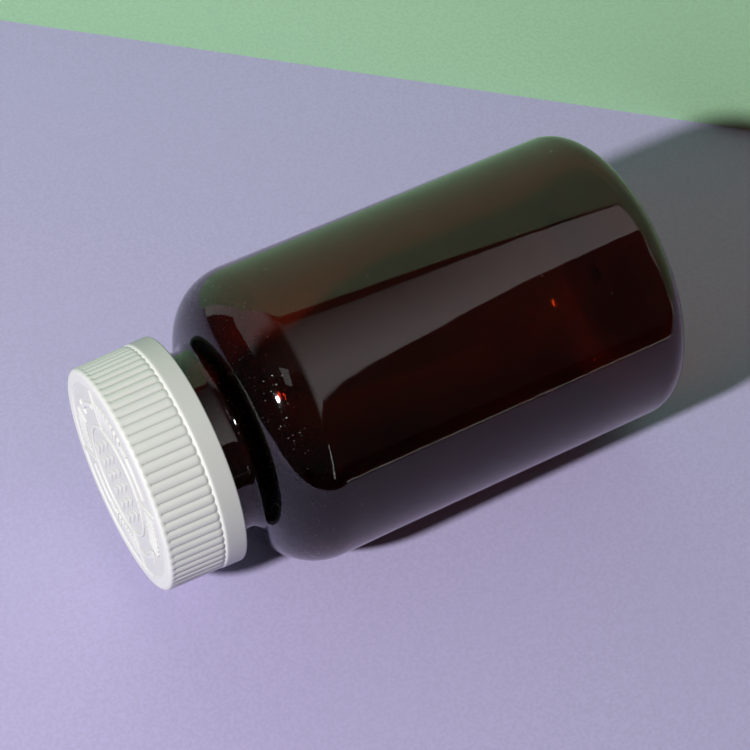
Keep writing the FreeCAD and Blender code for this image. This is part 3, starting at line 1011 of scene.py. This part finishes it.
def paper(s):
    """The sheet that the bottle lies on, and the card that stands up behind it."""
    down = -BOTTLE_BOX[1].x
    near, far, side = 0.182, -0.6, 1.4
    floor = [(near, -side, down), (far, -side, down), (far, side, down), (near, side, down)]
    stage_sheet(s, "floor_sheet", floor, paper_material("sheet_paper", s.sheet), hidden=False)

    slant, stand_off = math.radians(41.1), 84.8 * MM
    foot = Vector((-math.cos(slant), -math.sin(slant))) * stand_off
    run = Vector((-math.sin(slant), math.cos(slant)))
    start, start_above, end, card_top = 0.4, 0.33, -0.7, 0.255
    card = []
    for reach, rise in ((start, down), (end, down), (end, card_top), (start_above, card_top)):
        card.append((*(foot + run * reach), rise))
    stage_sheet(s, "back_card", card, paper_material("card_paper", s.card), hidden=False)


def dim_room(s):
    """Dim walls and a black skirting, which keep the near flank of the bottle deep."""
    near, high, past, behind, low = 1.1, 1.5, 1.1, -1.6, -0.5
    edge = -0.02
    walls = {
        "near": [(near, behind, edge), (near, past, edge), (near, past, high), (near, behind, high)],
        "above": [(near, behind, high), (near, past, high), (behind, past, high), (behind, behind, high)],
        "past": [(near, past, low), (behind, past, low), (behind, past, high), (near, past, high)],
    }
    glow = glow_material("room_glow", s.room)
    for name, places in walls.items():
        stage_sheet(s, "room_" + name, places, glow)
    skirting = [(near, behind, low), (near, past, low), (near, past, edge), (near, behind, edge)]
    settings = {"Base Color": (0.012, 0.012, 0.013, 1), "Roughness": 0.9}
    stage_sheet(s, "room_skirting", skirting, new_material("skirting_black", settings)[0])


def overhead_panel(s):
    """The panel above, which draws the long bright strip on the bottle's side."""
    high = 0.5
    cap_end = [(-0.7, 0.1), (-0.7, 0.6), (0.06, 0.6), (0.16, 0.03), (0.3, 0.03), (0.66, 0.02)]
    near_edge = [(0.46, -0.1), (0.35, -0.095), (0.3, -0.1), (0.26, -0.125), (0.21, -0.15), (0.18, -0.175)]
    near_edge += [(0.165, -0.22), (0.15, -0.38), (0.23, -0.84), (0.5, -1.6)]
    far_edge = [(0.38, -1.6), (0.14, -0.84), (0.06, -0.38), (-0.04, -0.22), (-0.095, -0.175)]
    far_edge += [(-0.12, -0.13), (-0.15, -0.085), (-0.24, -0.02)]
    places = [(across, along, high) for across, along in cap_end + near_edge + far_edge]

    def strength(nodes):
        """Brightest on its near side, faint over the cap except in its far corner."""
        place = nodes.place()
        axis = {0: place, 1: tuple(lie_axes(s)[0])}
        across = nodes.add("VectorMath", axis, operation="DOT_PRODUCT").outputs["Value"]
        along = nodes.height(place)
        far_side = nodes.ramp(along, -0.2, -0.1, 0.8, 0.2)
        body = nodes.ramp(across, -0.17, 0.2, far_side, kind="LINEAR")
        body = nodes.times(body, nodes.ramp(along, -0.06, 0.04, 1.0, 0.12))
        corner = nodes.ramp(across, -0.3, -0.12, 0.6, 0.0)
        corner = nodes.times(corner, nodes.ramp(along, -0.04, 0.1))
        return nodes.math("MAXIMUM", body, corner)

    stage_sheet(s, "overhead_panel", places, glow_material("panel_glow", s.panel, strength), lights=False)


def stray_lights(s):
    """Small bright cards that leave a patch, a sliver and a thin line on the shoulder and the flank."""
    pale, bright = glow_material("stray_pale", 1.0), glow_material("stray_bright", 2.6)
    patch = [(0.053, 0.283, 0.49), (0.098, 0.183, 0.49), (0.213, 0.24, 0.49), (0.174, 0.325, 0.49)]
    sliver = [(1.05, 0.02, 0.36), (1.05, 0.05, 0.36), (1.05, 0.13, -0.13), (1.05, 0.09, -0.13)]
    line = [(0.197, -0.3, -0.033), (0.204, -0.3, -0.033), (0.204, 0.04, -0.033), (0.197, 0.04, -0.033)]
    for name, places, glow in (("patch", patch, pale), ("sliver", sliver, bright), ("line", line, bright)):
        stage_sheet(s, "stray_" + name, places, glow, lights=False)


def key_lamp(s):
    """A small round lamp beyond the cap. Its level is what it gives a white surface that faces it."""
    direction, distance, across = (0.281, 0.746, 0.604), 0.9, 0.06
    lamp = bpy.data.lights.new("key_lamp", "AREA")
    lamp.shape = "DISK"
    lamp.size = across
    lamp.energy = s.key * (math.pi * distance) ** 2
    light = in_scene("key_lamp", lamp)
    aim = stage_point(s, *direction).normalized()
    light.location = MIDDLE + aim * distance
    light.rotation_mode = "QUATERNION"
    light.rotation_quaternion = aim.to_track_quat("Z", "Y")
    light.visible_camera = False


def surroundings(s):
    """Pale surroundings for the camera, gloss and clear plastic, and a fill on matt surfaces."""
    world = bpy.data.worlds.new("surroundings")
    bpy.context.scene.world = world
    nodes = emptied(world)
    path = nodes.add("LightPath").outputs
    seen = nodes.math("ADD", path["Is Camera Ray"], path["Is Glossy Ray"])
    seen = nodes.math("ADD", seen, path["Is Transmission Ray"], clamp=True)
    strength = nodes.ramp(seen, 0.0, 1.0, s.fill, s.background)
    sky = nodes.add("Background", {"Color": WHITE, "Strength": strength})
    nodes.add("OutputWorld", {"Surface": sky.outputs[0]})


def view_camera(s):
    """The camera, rolled so that the bottle lies on its side."""
    data = bpy.data.cameras.new("view")
    data.lens = s.lens
    data.clip_start = 0.01
    data.clip_end = 20
    camera = in_scene("view", data)
    bpy.context.scene.camera = camera
    flat, rise = math.cos(s.view_elevation), math.sin(s.view_elevation)
    back = Vector((math.sin(s.view_azimuth) * flat, -math.cos(s.view_azimuth) * flat, rise))
    camera.location = MIDDLE + Vector(s.view_aim) + back * s.view_distance
    roll = Matrix.Rotation(s.view_roll, 3, "Z").to_quaternion()
    camera.rotation_mode = "QUATERNION"
    camera.rotation_quaternion = (-back).to_track_quat("-Z", "Y") @ roll


class PHARMACY_OT_stage(bpy.types.Operator):
    """Set up the camera, the pale sheets and the lights"""

    bl_idname = "pharmacy.stage"
    bl_label = "Stage"

    def execute(self, context):
        context.scene.view_settings.view_transform = "Standard"
        for step in (view_camera, surroundings, paper, dim_room, overhead_panel, stray_lights, key_lamp):
            step(context.scene.pharmacy_studio)
        return {"FINISHED"}


# ---- add-on


class PHARMACY_PT_panel(bpy.types.Panel):
    """Lists the pieces of the bottle and its stage"""

    bl_idname = "PHARMACY_PT_panel"
    bl_label = "Pharmacy bottle"
    bl_space_type = "VIEW_3D"
    bl_region_type = "UI"
    bl_category = "Bottle"

    def draw(self, context):
        for step in STEPS:
            self.layout.operator(step.bl_idname)
        for name, group in SETTINGS.items():
            box = self.layout.box()
            for key in group.__annotations__:
                box.prop(getattr(context.scene, name), key)


STEPS = (PHARMACY_OT_stage, PHARMACY_OT_bottle, PHARMACY_OT_inner_parts, PHARMACY_OT_outer_cap)
SETTINGS = {
    "pharmacy_bottle": BottleSizes,
    "pharmacy_cap": CapSizes,
    "pharmacy_finish": FinishSettings,
    "pharmacy_studio": StudioSettings,
}
CLASSES = tuple(SETTINGS.values()) + STEPS + (PHARMACY_PT_panel,)


def register():
    for item in CLASSES:
        bpy.utils.register_class(item)
    for name, group in SETTINGS.items():
        setattr(bpy.types.Scene, name, PointerProperty(type=group))


def unregister():
    for name in SETTINGS:
        delattr(bpy.types.Scene, name)
    for item in reversed(CLASSES):
        bpy.utils.unregister_class(item)


def main():
    register()
    bpy.ops.pharmacy.stage()
    bpy.ops.pharmacy.bottle()
    bpy.ops.pharmacy.inner_parts()
    bpy.ops.pharmacy.outer_cap()


if __name__ == "__main__":
    main()
